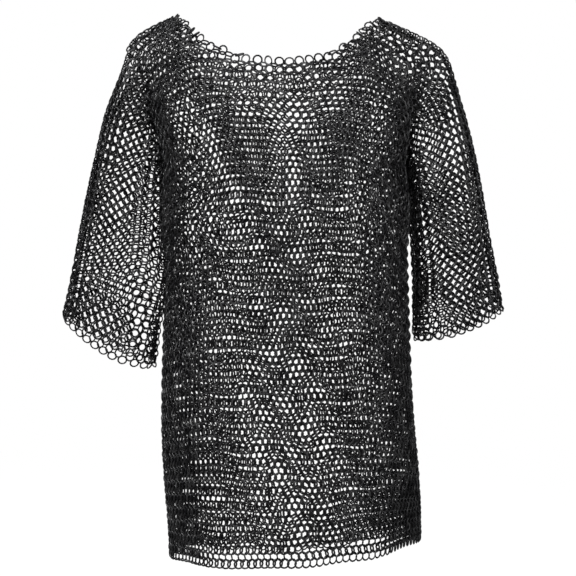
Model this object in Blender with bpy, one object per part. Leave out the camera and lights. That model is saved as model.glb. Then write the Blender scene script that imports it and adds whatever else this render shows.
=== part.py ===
"""Haubergeon: a half-sleeved mail shirt with a wide neck.

The fields of closed links are solid mail sheets that follow the shirt's hang. Along every free edge,
at the neck, the cuffs and the hem, the last row of links stands out of its sheet as rings of round wire.
The wearer faces -Y, the wearer's left is +X, and Z is up. The origin is the point between the two
shoulders, level with the top of the shirt. Sizes are in metres.
"""

import math

import bmesh
import bpy
import numpy as np
from mathutils import Matrix, Vector

# Rings
RING_BORE = 0.010
WIRE = 0.0016
RING_STAND = 0.0045
HEM_RING_PITCH = 0.0093
NECK_RING_PITCH = 0.0100
CUFF_RING_PITCH = 0.0134
CUFF_END_SPARE = 0.0025
NECK_END_SPARE = 0.0030
SEAM_GAP = 0.0003
MAIL_THICKNESS = 0.0052

# Body of the shirt: drops are measured down from the shoulder, depths from the shoulder line
FRONT_LENGTH = 0.739
HEM_SIDE_EXTRA = 0.014
HEM_BACK_EXTRA = 0.052
ARMPIT_DROP = 0.216
HALF_WIDTH = 0.178
FRONT_DEPTH = 0.190
BACK_DEPTH = 0.108
SIDE_FORWARD = 0.032
HEM_FOLD_DEPTH = 0.0035
HEM_FOLD_COUNT = 9

# Neck and shoulders
NECK_HALF_WIDTH = 0.140
NECK_FRONT_DROP = 0.087
NECK_FRONT_FORWARD = 0.104
NECK_BACK_DROP = 0.053
NECK_BACK_REACH = 0.085
NECK_SAG = 2.4
SHOULDER_HALF_WIDTH = 0.224
SHOULDER_DROP = 0.048
SHOULDER_SLOPE_SHARE = 0.4
SHOULDER_FRONT_ROUND = 0.058
SHOULDER_BACK_ROUND = 0.048
CHEST_RISE = 0.090

# Sleeves
CUFF_OUTER_HALF_SPAN = 0.311
CUFF_OUTER_DROP = 0.418
CUFF_TO_BODY = 0.012
CUFF_INNER_DROP = 0.480
CUFF_FORWARD = 0.010
CUFF_BULGE = 0.021
SLEEVE_FRONT_ROUND = 0.058
SLEEVE_BACK_ROUND = 0.052

# Stations across the shirt, from the middle of the chest (0) to the cuff (8)
NECK_CORNER = 2
ARMHOLE = 4
CUFF = 8
BODY_STATIONS = [0, 1, 2, 3, 4]
QUARTER_TURN_SHARES = [0, 0.21, 0.41, 0.63, 1]

# Levels down the body, from the armpit to the hem, with the section at each
LEVEL_SHARES = [0, 0.165, 0.32, 0.514, 0.707, 0.882, 1]
LEVEL_WIDTH_SHARES = [0.893, 0.933, 0.961, 0.989, 1, 1, 1]
LEVEL_FRONT_SHARES = [0.858, 1, 0.958, 0.926, 0.895, 0.858, 0.832]
LEVEL_BACK_SHARES = [0.94, 0.98, 0.963, 0.963, 0.98, 1, 1.02]
LEVEL_SIDE_SHARES = [0.25, 0.69, 0.94, 1, 1, 0.94, 0.875]

# Where the sleeve's ridge and underside pass each station, as shares of the way to the cuff
SLEEVE_STATIONS = [4, 5, 6, 7, 8]
RIDGE_SPAN_SHARES = [0, 0.161, 0.437, 0.701, 1]
RIDGE_DROP_SHARES = [0, 0.108, 0.311, 0.608, 1]
UNDERSIDE_SPAN_SHARES = [0, 0.6, 0.78, 0.88, 1]
UNDERSIDE_DROP_SHARES = [0, 0.02, 0.34, 0.65, 1]
SLEEVE_ROUND_SHARES = [0.9, 1, 1.03, 0.97, 0.83]
SLEEVE_BULGE_SHARES = [0, 0, 0.1, 0.4, 1]

# How each hoop leaves the neck or shoulder, and how it rises from the chest: sideways, outward, down
FRONT_TOP_ARM_SHARES = [[0, 0.41, 0.5], [-0.07, 0.48, 0.47], [-0.07, 1, 0.03], [-0.15, 0.9, 0.07],
                        [-0.14, 0.8, 0.11]]
BACK_TOP_ARM_SHARES = [[0, 0.29, 0.44], [-0.07, 0.38, 0.42], [-0.07, 1, 0.03], [-0.15, 0.92, 0.07],
                       [-0.14, 0.83, 0.11]]
FRONT_LOW_ARM_SHARES = [[0, -0.19, -0.48], [0.07, -0.17, -0.53], [0.21, -0.14, -1],
                        [0.14, 0.17, -0.89], [0.18, 0.83, -0.47]]
BACK_LOW_ARM_SHARES = [[0, 0, -0.56], [0.07, 0, -0.56], [0.21, 0.08, -0.94], [0.14, 0.21, -0.83],
                       [0.18, 0.92, -0.47]]

# Grid lines of the sheets
BODY_LINES = [0, 0.5, 1, 1.5, 2, 2.5, 3, 3.5, 4]
FLANK_LINES = [3, 3.5, 4, 4.5, 5]
UPPER_SLEEVE_LINES = [4, 4.67, 5.33, 6]
SLEEVE_SPLIT = 6
CHEST_SPLIT_SHARE = 0.5
WAIST_SPLIT_SHARE = 0.5
CHEST_ROWS = 3
YOKE_ROWS = 2
NECK_CORNER_ROWS = 2
SHOULDER_COLUMNS = 4
LOWER_SLEEVE_COLUMNS = 3
BODY_ROWS = 3

# How the rings lie: those of a row all lean the same way, each a little behind the next
HEM_RING_LEAN = math.radians(32)
NECK_RING_LEAN = math.radians(27)
CUFF_RING_LEAN = math.radians(12)
RING_SIDES = 6
WIRE_SIDES = 3
EDGE_SAMPLES = 48
SEARCH_SAMPLES = 16
SPLIT_SHARES = [0.37, 0.61]

# The shoulder's own axis, at the outside of the mail over the point of the shoulder
PIVOT_HALF_SPAN = SHOULDER_HALF_WIDTH + SEAM_GAP / 2
PIVOT_HEIGHT = -SHOULDER_DROP + MAIL_THICKNESS / 2
SHARP_ANGLE = math.radians(50)

CUFF_INNER_HALF_SPAN = HALF_WIDTH + CUFF_TO_BODY
SAME_POINT = SEAM_GAP / 30
RING_RADIUS = (RING_BORE + WIRE) / 2
RING_ROW_DEPTH = RING_STAND + RING_BORE / 2 + WIRE
FRONT = -1
BACK = 1


def monotone(knots, values, x):
    """Smooth curve through the values at the knots, which never runs past them."""
    knots = np.asarray(knots, float)
    values = np.asarray(values, float)
    spans = np.diff(knots)
    chords = (np.diff(values, axis=0).T / spans).T
    slopes = np.empty_like(values)
    slopes[0] = chords[0]
    slopes[-1] = chords[-1]
    before, after = chords[:-1], chords[1:]
    same_way = before * after > 0
    total = np.where(same_way, before + after, 1)
    slopes[1:-1] = np.where(same_way, 2 * before * after / total, 0)
    k = int(np.clip(np.searchsorted(knots, x, side="right") - 1, 0, len(spans) - 1))
    t = (x - knots[k]) / spans[k]
    rise = values[k] * (1 + 2 * t) + slopes[k] * spans[k] * t
    fall = values[k + 1] * (3 - 2 * t) + slopes[k + 1] * spans[k] * (t - 1)
    return rise * (1 - t) ** 2 + fall * t**2


def body_point(station, side, level):
    """A point of the body below the armpit; level runs from 0 at the armpit to 1 at the hem."""
    angle = monotone(BODY_STATIONS, QUARTER_TURN_SHARES, station) * math.pi / 2
    half_width = HALF_WIDTH * monotone(LEVEL_SHARES, LEVEL_WIDTH_SHARES, level)
    middle = -SIDE_FORWARD * monotone(LEVEL_SHARES, LEVEL_SIDE_SHARES, level)
    if side == FRONT:
        reach = -FRONT_DEPTH * monotone(LEVEL_SHARES, LEVEL_FRONT_SHARES, level)
        hem = FRONT_LENGTH
    else:
        reach = BACK_DEPTH * monotone(LEVEL_SHARES, LEVEL_BACK_SHARES, level)
        hem = FRONT_LENGTH + HEM_BACK_EXTRA * math.cos(angle) ** 2
    hem += HEM_SIDE_EXTRA * math.sin(angle) ** 2
    around = angle if side == FRONT else math.pi - angle
    fold = HEM_FOLD_DEPTH * level**2 * math.cos(HEM_FOLD_COUNT * around)
    x = (half_width + fold) * math.sin(angle)
    y = middle + (reach - middle + side * fold) * math.cos(angle)
    return np.array([x, y, -ARMPIT_DROP - (hem - ARMPIT_DROP) * level])


def sleeve_line(start, end, span_shares, drop_shares):
    """Points from start to end at the sleeve's stations."""
    spans = np.array(span_shares)
    drops = np.array(drop_shares)
    return start + (end - start) * np.stack([spans, spans, drops], axis=1)


def neck_edge(station, side):
    """A point of the neck's edge, from the middle of the chest or back (0) to its corner (2)."""
    angle = station / NECK_CORNER * math.pi / 2
    reach = NECK_FRONT_FORWARD if side == FRONT else NECK_BACK_REACH
    drop = NECK_FRONT_DROP if side == FRONT else NECK_BACK_DROP
    x = NECK_HALF_WIDTH * math.sin(angle)
    return np.array([x, side * reach * math.cos(angle), -drop * (1 - math.sin(angle) ** NECK_SAG)])


def hoop_tables(side):
    """The guide lines that every hoop over the shirt is drawn from, one point a station."""
    front = side == FRONT
    neck = np.array([neck_edge(k, side) for k in range(NECK_CORNER + 1)])
    shoulder = np.array([SHOULDER_HALF_WIDTH, 0, -SHOULDER_DROP])
    half_way = (neck[-1] + shoulder) / 2
    half_way[2] = -SHOULDER_DROP * SHOULDER_SLOPE_SHARE
    cuff_outer = np.array([CUFF_OUTER_HALF_SPAN, -CUFF_FORWARD / 2, -CUFF_OUTER_DROP])
    cuff_inner = np.array([CUFF_INNER_HALF_SPAN, -CUFF_FORWARD, -CUFF_INNER_DROP])
    armpit = body_point(ARMHOLE, side, 0)
    ridge = sleeve_line(shoulder, cuff_outer, RIDGE_SPAN_SHARES, RIDGE_DROP_SHARES)
    under = sleeve_line(armpit, cuff_inner, UNDERSIDE_SPAN_SHARES, UNDERSIDE_DROP_SHARES)
    ridge = np.vstack([neck[-1], half_way, ridge])
    low = np.vstack([[body_point(k, side, 0) for k in BODY_STATIONS], under[1:]])

    over_shoulder = SHOULDER_FRONT_ROUND if front else SHOULDER_BACK_ROUND
    reaches = np.array([over_shoulder, side * over_shoulder, -CHEST_RISE])
    top_arms = np.array(FRONT_TOP_ARM_SHARES if front else BACK_TOP_ARM_SHARES) * reaches
    low_arms = np.array(FRONT_LOW_ARM_SHARES if front else BACK_LOW_ARM_SHARES) * reaches
    sleeve_round = SLEEVE_FRONT_ROUND if front else SLEEVE_BACK_ROUND
    sleeve_arms = np.array([[0, side * sleeve_round * wide, 0] for wide in SLEEVE_ROUND_SHARES])
    top = np.vstack([neck[:-1], ridge])
    upper = top + np.vstack([top_arms, sleeve_arms[1:]])
    lower = low + np.vstack([low_arms, sleeve_arms[1:]])
    return {"ridge": ridge, "upper": upper, "lower": lower, "low": low}


TABLES = {FRONT: hoop_tables(FRONT), BACK: hoop_tables(BACK)}
ALL_STATIONS = list(range(CUFF + 1))


def mirrored(point, sign):
    return point * np.array([sign, 1, 1])


def upper_point(station, girth):
    """A point of the yoke or a sleeve. Girth runs from -1, at the chest or the front underside, over
    the neck's edge or the ridge at 0, to 1 at the back; a station below zero is on the right."""
    sign = -1 if station < 0 else 1
    u = abs(station)
    side = FRONT if girth <= 0 else BACK
    table = TABLES[side]
    if u <= NECK_CORNER:
        top = neck_edge(u, side)
    else:
        top = monotone(ALL_STATIONS[NECK_CORNER:], table["ridge"], u)
    if u <= ARMHOLE:
        low = body_point(u, side, 0)
    else:
        low = monotone(ALL_STATIONS[ARMHOLE:], table["low"][ARMHOLE:], u)
    upper = monotone(ALL_STATIONS, table["upper"], u)
    lower = monotone(ALL_STATIONS, table["lower"], u)
    t = 1 - abs(girth)
    point = (low * (1 - t) ** 3 + lower * 3 * t * (1 - t) ** 2
             + upper * 3 * t**2 * (1 - t) + top * t**3)
    if u > ARMHOLE:
        bulge = monotone(SLEEVE_STATIONS, SLEEVE_BULGE_SHARES, u)
        point = point - np.array([0, 0, CUFF_BULGE]) * bulge * (4 * t * (1 - t)) ** 2
    return mirrored(point, sign)


def lap_point(lap, level):
    """A point of the body below the armpits. Lap runs round the body: 0 is the middle of the front,
    4 the left side, 8 the middle of the back, and below zero it runs to the right."""
    sign = -1 if lap < 0 else 1
    u = abs(lap)
    if u > 2 * ARMHOLE:
        sign, u = -sign, 4 * ARMHOLE - u
    if u <= ARMHOLE:
        return mirrored(body_point(u, FRONT, level), sign)
    return mirrored(body_point(2 * ARMHOLE - u, BACK, level), sign)


def length_of(points):
    return float(np.linalg.norm(np.diff(np.asarray(points), axis=0), axis=1).sum())


def share_for(distance, points_at, start, end):
    """The parameter that lies a distance from end, on the line that points_at draws to it."""
    steps = np.linspace(start, end, SEARCH_SAMPLES)
    points = np.array([points_at(s) for s in steps])
    gone = np.concatenate([[0], np.cumsum(np.linalg.norm(np.diff(points, axis=0), axis=1))])
    return float(np.interp(gone[-1] - distance, gone, steps))


def both_hands(half):
    """A closed loop from the left half of it, which runs from the front's middle to the back's."""
    return np.concatenate([half, (half * np.array([-1, 1, 1]))[-2::-1]])


def opposite(grid):
    """The same sheet on the wearer's other side."""
    return grid[:, ::-1] * np.array([-1, 1, 1])


NECK_STEPS = np.linspace(0, NECK_CORNER, EDGE_SAMPLES)
NECK_HALF = np.array([neck_edge(u, FRONT) for u in NECK_STEPS]
                     + [neck_edge(u, BACK) for u in NECK_STEPS[-2::-1]])
NECK_LOOP = both_hands(NECK_HALF)


def clear_of_neck(depth, points_at, start, end):
    """The first parameter from start at which points_at is a depth away from the neck's edge."""
    steps = np.linspace(start, end, SEARCH_SAMPLES)
    points = np.array([points_at(s) for s in steps])
    away = np.linalg.norm(points[:, None] - NECK_LOOP[None], axis=2).min(axis=1)
    away = np.maximum.accumulate(away)
    return float(np.interp(depth, away, steps))


def neck_girth(depth, station, side):
    """How far round its hoop a station's point lies when it is a depth inside the neck's edge."""
    return side * clear_of_neck(depth, lambda g: upper_point(station, side * g), 0, CHEST_SPLIT_SHARE)


def skirt_end(depth, lap):
    return share_for(depth, lambda level: lap_point(lap, level), WAIST_SPLIT_SHARE, 1)


def sleeve_end(depth, girth):
    return share_for(depth, lambda u: upper_point(u, girth), SLEEVE_SPLIT, CUFF)


def unit(vectors):
    return vectors / np.linalg.norm(vectors, axis=-1, keepdims=True)


def upper_grid(columns_at, rows):
    """Points of a sheet over the yoke or a sleeve; columns_at gives each row's own stations."""
    return np.array([[upper_point(u, g) for u in columns_at(g)] for g in rows])


def body_grid(laps, low_level_at, high_level):
    """Points of a sheet of the body, from a lower line up to a level."""
    columns = [[lap_point(lap, level) for level in np.linspace(low_level_at(lap), high_level, BODY_ROWS + 1)]
               for lap in laps]
    return np.array(columns).transpose(1, 0, 2)


def neck_grid(stations, side, depth):
    """Points of the sheet between the chest or back and the neck's ring band."""
    columns = []
    for station in stations:
        top = neck_girth(depth, abs(station), side)
        rows = np.linspace(side * CHEST_SPLIT_SHARE, top, YOKE_ROWS + 1)
        columns.append([upper_point(station, g) for g in rows])
    grid = np.array(columns).transpose(1, 0, 2)
    return grid if side == FRONT else grid[::-1]


def sheet_grids(neck_depth, hem_depth, cuff_depth):
    """The points of every sheet, by name; rows run up the body and over the shoulder from the front."""
    both = [-u for u in BODY_LINES[:0:-1]] + BODY_LINES
    neck_columns = [u for u in both if abs(u) <= NECK_CORNER]
    waist_front = [u for u in both if abs(u) <= FLANK_LINES[0]]
    waist_back = [2 * ARMHOLE + u for u in waist_front]
    front_corner = neck_girth(neck_depth, NECK_CORNER, FRONT)
    back_corner = neck_girth(neck_depth, NECK_CORNER, BACK)
    chest_rows = np.linspace(-1, -CHEST_SPLIT_SHARE, CHEST_ROWS + 1)
    back_rows = np.linspace(CHEST_SPLIT_SHARE, 1, CHEST_ROWS + 1)
    shoulder_rows = [*np.linspace(-CHEST_SPLIT_SHARE, front_corner, YOKE_ROWS + 1)[:-1],
                     *np.linspace(front_corner, 0, NECK_CORNER_ROWS + 1)[:-1],
                     *np.linspace(0, back_corner, NECK_CORNER_ROWS + 1)[:-1],
                     *np.linspace(back_corner, CHEST_SPLIT_SHARE, YOKE_ROWS + 1)]
    hoop_rows = [*chest_rows[:-1], *shoulder_rows, *back_rows[1:]]
    front_half = [g for g in hoop_rows if g <= 0]
    back_half = [g for g in hoop_rows if g >= 0]

    def shoulder_columns(g):
        if front_corner < g < back_corner:
            start = clear_of_neck(neck_depth, lambda u: upper_point(u, g), NECK_CORNER, NECK_CORNER + 1)
        else:
            start = NECK_CORNER
        return np.linspace(start, ARMHOLE, SHOULDER_COLUMNS + 1)

    def lower_sleeve_columns(g):
        return np.linspace(SLEEVE_SPLIT, sleeve_end(cuff_depth, g), LOWER_SLEEVE_COLUMNS + 1)

    grids = {
        "front_chest": upper_grid(lambda g: both, chest_rows),
        "upper_back": upper_grid(lambda g: both, back_rows),
        "front_neck": neck_grid(neck_columns, FRONT, neck_depth),
        "back_neck": neck_grid(neck_columns, BACK, neck_depth),
        "left_shoulder": upper_grid(shoulder_columns, shoulder_rows),
        "front_waist": body_grid(waist_front, lambda lap: WAIST_SPLIT_SHARE, 0),
        "back_waist": body_grid(waist_back, lambda lap: WAIST_SPLIT_SHARE, 0),
        "left_flank": body_grid(FLANK_LINES, lambda lap: WAIST_SPLIT_SHARE, 0),
        "front_skirt": body_grid(waist_front, lambda lap: skirt_end(hem_depth, lap), WAIST_SPLIT_SHARE),
        "back_skirt": body_grid(waist_back, lambda lap: skirt_end(hem_depth, lap), WAIST_SPLIT_SHARE),
        "left_hip": body_grid(FLANK_LINES, lambda lap: skirt_end(hem_depth, lap), WAIST_SPLIT_SHARE),
        "left_sleeve_upper_front": upper_grid(lambda g: UPPER_SLEEVE_LINES, front_half),
        "left_sleeve_upper_back": upper_grid(lambda g: UPPER_SLEEVE_LINES, back_half),
        "left_sleeve_lower_front": upper_grid(lower_sleeve_columns, front_half),
        "left_sleeve_lower_back": upper_grid(lower_sleeve_columns, back_half),
    }
    for name in [name for name in grids if name.startswith("left_")]:
        grids[name.replace("left_", "right_")] = opposite(grids[name])
    return grids


def spot(point):
    """A key that is the same for two points that are meant to be one."""
    return tuple(int(round(v / SAME_POINT)) for v in point)


def sheet_normals(grids):
    """Outward normals at the grids' points, shared where sheets meet, so that their edges agree."""
    total = {}
    for grid in grids.values():
        faces = unit(np.cross(grid[:-1, 1:] - grid[1:, :-1], grid[1:, 1:] - grid[:-1, :-1]))
        for row, column in np.ndindex(faces.shape[:2]):
            for corner in ((row, column), (row, column + 1), (row + 1, column), (row + 1, column + 1)):
                key = spot(grid[corner])
                total[key] = total.get(key, 0) + faces[row, column]
    return {name: unit(np.array([[total[spot(p)] for p in line] for line in grid]))
            for name, grid in grids.items()}


def narrowed(grid, normals):
    """The grid with each edge drawn in by half of the gap between neighbouring sheets."""
    moved = grid.copy()
    along_rows = np.gradient(grid, axis=1)
    along_columns = np.gradient(grid, axis=0)
    for index, inward in ((0, 1), (-1, -1)):
        draw = np.cross(normals[index], along_rows[index]) * inward
        moved[index] += unit(draw) * SEAM_GAP / 2
        draw = np.cross(along_columns[:, index], normals[:, index]) * inward
        moved[:, index] += unit(draw) * SEAM_GAP / 2
    return moved


def outermost(point):
    """How far a point lies out, back and down, by which both sides of a seam are split alike."""
    return abs(point[0]) + point[1] * SPLIT_SHARES[0] - point[2] * SPLIT_SHARES[1]


def mail_sheet(grid, normals):
    """A sheet of the mail's thickness over a grid of points."""
    rows, columns = grid.shape[:2]
    edge = narrowed(grid, normals)
    rise = normals * MAIL_THICKNESS / 2
    inner = edge - rise
    outer = edge + rise
    bm = bmesh.new()
    bmesh.ops.create_grid(bm, x_segments=columns - 1, y_segments=rows - 1, size=1)
    place = bm.verts.layers.int.new("place")
    for index, vert in enumerate(bm.verts):
        vert[place] = index
    made = bmesh.ops.extrude_face_region(bm, geom=bm.faces[:])
    lifted = {v for v in made["geom"] if isinstance(v, bmesh.types.BMVert)}
    for vert in bm.verts:
        side = outer if vert in lifted else inner
        vert.co = Vector(side[divmod(vert[place], columns)])
    for face in [f for f in bm.faces if {v in lifted for v in f.verts} == {True, False}]:
        ends = sorted({v[place] for v in face.verts}, key=lambda k: outermost(grid[divmod(k, columns)]))
        near, far = [(grid[divmod(k, columns)], rise[divmod(k, columns)]) for k in ends]
        longer = length_of([sum(far), near[0] - near[1]]) - length_of([sum(near), far[0] - far[1]])
        high, low = ends[::-1] if longer < SAME_POINT else ends
        above = next(v for v in face.verts if v in lifted and v[place] == high)
        below = next(v for v in face.verts if v not in lifted and v[place] == low)
        bmesh.utils.face_split(face, above, below)
    bmesh.ops.triangulate(bm, faces=bm.faces, quad_method="LONG_EDGE")
    bmesh.ops.recalc_face_normals(bm, faces=bm.faces)
    return bm


def ring_frames(rim, within, normals, pitch, lean, spare):
    """Where the rings along a sheet's edge stand, evenly spaced but for a spare length at each end.
    Rim is the edge's own points, within the next points of the sheet, and each ring leans about the
    way from the edge into the sheet."""
    steps = np.linalg.norm(np.diff(rim, axis=0), axis=1)
    gone = np.concatenate([[0], np.cumsum(steps)])
    room = gone[-1] - 2 * spare
    count = max(1, round(room / pitch))
    places = spare + (np.arange(count) + 0.5) / count * room

    def at(values):
        return np.stack([np.interp(places, gone, values[:, k]) for k in range(3)], axis=1)

    alongs = unit(at(np.gradient(rim, gone, axis=0)))
    frames = []
    for base, along, inward, normal in zip(at(rim), alongs, at(within - rim), at(normals)):
        inward = unit(inward - along * (inward @ along))
        outward = np.cross(along, inward)
        if outward @ normal < 0:
            along, outward = -along, -outward
        centre = base - inward * RING_STAND
        matrix = Matrix([[along[i], inward[i], outward[i], centre[i]] for i in range(3)]
                        + [[0, 0, 0, 1]])
        frames.append(matrix @ Matrix.Rotation(lean, 4, "Y"))
    return frames


def ring_row(frames):
    """Rings of round wire, one at each frame."""
    bpy.ops.mesh.primitive_torus_add(major_radius=RING_RADIUS, minor_radius=WIRE / 2,
                                     major_segments=RING_SIDES, minor_segments=WIRE_SIDES)
    ring = bpy.context.object
    corner_first = Matrix.Rotation(math.pi / RING_SIDES, 4, "Z")
    bm = bmesh.new()
    for frame in frames:
        made = len(bm.verts)
        bm.from_mesh(ring.data)
        bm.verts.ensure_lookup_table()
        bmesh.ops.transform(bm, matrix=frame @ corner_first, verts=bm.verts[made:])
    shape = ring.data
    bpy.data.objects.remove(ring)
    bpy.data.meshes.remove(shape)
    return bm


def edge_rings(name, grid, normals):
    """The frames of the rings that a sheet carries on its free edge, or none."""
    if name.endswith(("skirt", "hip")):
        return ring_frames(grid[0], grid[1], normals[0], HEM_RING_PITCH, HEM_RING_LEAN, 0)
    if name == "front_neck":
        return ring_frames(grid[-1], grid[-2], normals[-1], NECK_RING_PITCH, NECK_RING_LEAN, 0)
    if name == "back_neck":
        return ring_frames(grid[0], grid[1], normals[0], NECK_RING_PITCH, NECK_RING_LEAN, 0)
    corner = slice(YOKE_ROWS, YOKE_ROWS + 2 * NECK_CORNER_ROWS + 1)
    if name == "left_shoulder":
        return ring_frames(grid[corner, 0], grid[corner, 1], normals[corner, 0], NECK_RING_PITCH,
                           NECK_RING_LEAN, NECK_END_SPARE)
    if name == "right_shoulder":
        return ring_frames(grid[corner, -1], grid[corner, -2], normals[corner, -1], NECK_RING_PITCH,
                           NECK_RING_LEAN, NECK_END_SPARE)
    if name.startswith("left_sleeve_lower"):
        return ring_frames(grid[:, -1], grid[:, -2], normals[:, -1], CUFF_RING_PITCH, CUFF_RING_LEAN,
                           CUFF_END_SPARE)
    if name.startswith("right_sleeve_lower"):
        return ring_frames(grid[:, 0], grid[:, 1], normals[:, 0], CUFF_RING_PITCH, CUFF_RING_LEAN,
                           CUFF_END_SPARE)
    return []


def new_material(name, colour, roughness, metallic):
    material = bpy.data.materials.new(name)
    material.use_nodes = True
    shader = material.node_tree.nodes["Principled BSDF"]
    shader.inputs["Base Color"].default_value = (*colour, 1)
    shader.inputs["Roughness"].default_value = roughness
    shader.inputs["Metallic"].default_value = metallic
    return material


def new_object(name, bm, place, material, collection):
    bmesh.ops.translate(bm, vec=-place, verts=bm.verts)
    mesh = bpy.data.meshes.new(name)
    bm.to_mesh(mesh)
    bm.free()
    mesh.materials.append(material)
    mesh.shade_smooth()
    mesh.set_sharp_from_angle(angle=SHARP_ANGLE)
    made = bpy.data.objects.new(name, mesh)
    made.location = place
    collection.objects.link(made)
    return made


def place_piece(name, grid, normals, material, shirt, tools):
    """A sheet with the rings of its free edge; a sleeve's pieces have their origin on its own axis."""
    place = Vector((0, 0, 0))
    for side, sign in (("left_sleeve", 1), ("right_sleeve", -1)):
        if name.startswith(side):
            place = Vector((sign * PIVOT_HALF_SPAN, 0, PIVOT_HEIGHT))
    piece = new_object(name, mail_sheet(grid, normals), place, material, shirt)
    frames = edge_rings(name, grid, normals)
    if frames:
        rings = new_object(name + "_rings", ring_row(frames), place, material, tools)
        rings.hide_render = True
        rings.display_type = "WIRE"
        union = piece.modifiers.new("edge_rings", "BOOLEAN")
        union.operation = "UNION"
        union.solver = "EXACT"
        union.object = rings


def build_shirt():
    shirt = bpy.data.collections.new("haubergeon")
    tools = bpy.data.collections.new("ring_rows")
    bpy.context.scene.collection.children.link(shirt)
    bpy.context.scene.collection.children.link(tools)
    steel = new_material("mail_steel", (0.035, 0.035, 0.038), 0.5, 0.85)
    grids = sheet_grids(RING_ROW_DEPTH, RING_ROW_DEPTH, RING_ROW_DEPTH)
    normals = sheet_normals(grids)
    for name, grid in grids.items():
        place_piece(name, grid, normals[name], steel, shirt, tools)


for old in list(bpy.data.objects):
    bpy.data.objects.remove(old, do_unlink=True)
build_shirt()
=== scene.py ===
import math

import bpy
import numpy as np
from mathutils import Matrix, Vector
from mathutils.bvhtree import BVHTree


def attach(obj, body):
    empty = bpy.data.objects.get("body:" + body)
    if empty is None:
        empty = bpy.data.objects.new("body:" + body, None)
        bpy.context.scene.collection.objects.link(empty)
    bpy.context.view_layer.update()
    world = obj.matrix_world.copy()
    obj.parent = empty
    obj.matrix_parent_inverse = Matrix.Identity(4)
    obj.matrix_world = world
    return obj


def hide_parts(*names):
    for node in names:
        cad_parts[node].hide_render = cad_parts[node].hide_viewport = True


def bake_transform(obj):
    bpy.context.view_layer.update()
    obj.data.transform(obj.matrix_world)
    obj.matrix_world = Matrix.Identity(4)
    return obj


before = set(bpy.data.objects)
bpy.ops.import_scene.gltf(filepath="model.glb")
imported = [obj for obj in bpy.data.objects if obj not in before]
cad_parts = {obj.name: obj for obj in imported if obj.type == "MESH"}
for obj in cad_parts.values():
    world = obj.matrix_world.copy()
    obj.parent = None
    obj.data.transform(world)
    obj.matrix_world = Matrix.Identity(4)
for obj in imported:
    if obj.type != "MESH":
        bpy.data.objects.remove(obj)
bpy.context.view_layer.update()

bpy.ops.object.select_all(action="DESELECT")
print("frame loaded")

# The shirt's form, in metres: widths are half widths, drops are from the shoulder, reaches to the front and back.
# Lists run from the neck or armpit outwards, or downwards, as shares of the length that they belong to
shirt = {
    "frontLength": 0.739, "hemSideExtra": 0.014, "hemBackExtra": 0.052, "armpitDrop": 0.216,
    "halfWidth": 0.178, "frontDepth": 0.190, "backDepth": 0.108, "sideForward": 0.032,
    "hemFold": 0.0035, "hemFolds": 9,
    "neckHalfWidth": 0.140, "neckFrontDrop": 0.087, "neckFrontForward": 0.104,
    "neckBackDrop": 0.053, "neckBackReach": 0.085, "neckSag": 2.4,
    "shoulderHalfWidth": 0.224, "shoulderDrop": 0.048, "shoulderFrontRound": 0.058,
    "shoulderBackRound": 0.048, "chestRise": 0.090,
    "cuffOuterHalfSpan": 0.311, "cuffOuterDrop": 0.418, "cuffInnerHalfSpan": 0.190,
    "cuffInnerDrop": 0.480, "cuffForward": 0.010, "cuffBulge": 0.021,
    "sleeveFrontRound": 0.058, "sleeveBackRound": 0.052,
    "quarterTurn": [0, 0.21, 0.41, 0.63, 1],
    "levels": [0, 0.165, 0.32, 0.514, 0.707, 0.882, 1],
    "levelWidths": [0.893, 0.933, 0.961, 0.989, 1, 1, 1],
    "levelFronts": [0.858, 1, 0.958, 0.926, 0.895, 0.858, 0.832],
    "levelBacks": [0.94, 0.98, 0.963, 0.963, 0.98, 1, 1.02],
    "levelSides": [0.25, 0.69, 0.94, 1, 1, 0.94, 0.875],
    "ridgeSpans": [0, 0.161, 0.437, 0.701, 1], "ridgeDrops": [0, 0.108, 0.311, 0.608, 1],
    "underSpans": [0, 0.6, 0.78, 0.88, 1], "underDrops": [0, 0.02, 0.34, 0.65, 1],
    "sleeveRounds": [0.9, 1, 1.03, 0.97, 0.83], "sleeveBulges": [0, 0, 0.1, 0.4, 1],
    "saddleDrop": 0.4,
    "frontTopArms": [[0, 0.41, 0.5], [-0.07, 0.48, 0.47], [-0.07, 1, 0.03],
                     [-0.15, 0.9, 0.07], [-0.14, 0.8, 0.11]],
    "backTopArms": [[0, 0.29, 0.44], [-0.07, 0.38, 0.42], [-0.07, 1, 0.03],
                    [-0.15, 0.92, 0.07], [-0.14, 0.83, 0.11]],
    "frontLowArms": [[0, -0.19, -0.48], [0.07, -0.17, -0.53], [0.21, -0.14, -1],
                     [0.14, 0.17, -0.89], [0.18, 0.83, -0.47]],
    "backLowArms": [[0, 0, -0.56], [0.07, 0, -0.56], [0.21, 0.08, -0.94],
                    [0.14, 0.21, -0.83], [0.18, 0.92, -0.47]],
}

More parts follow.
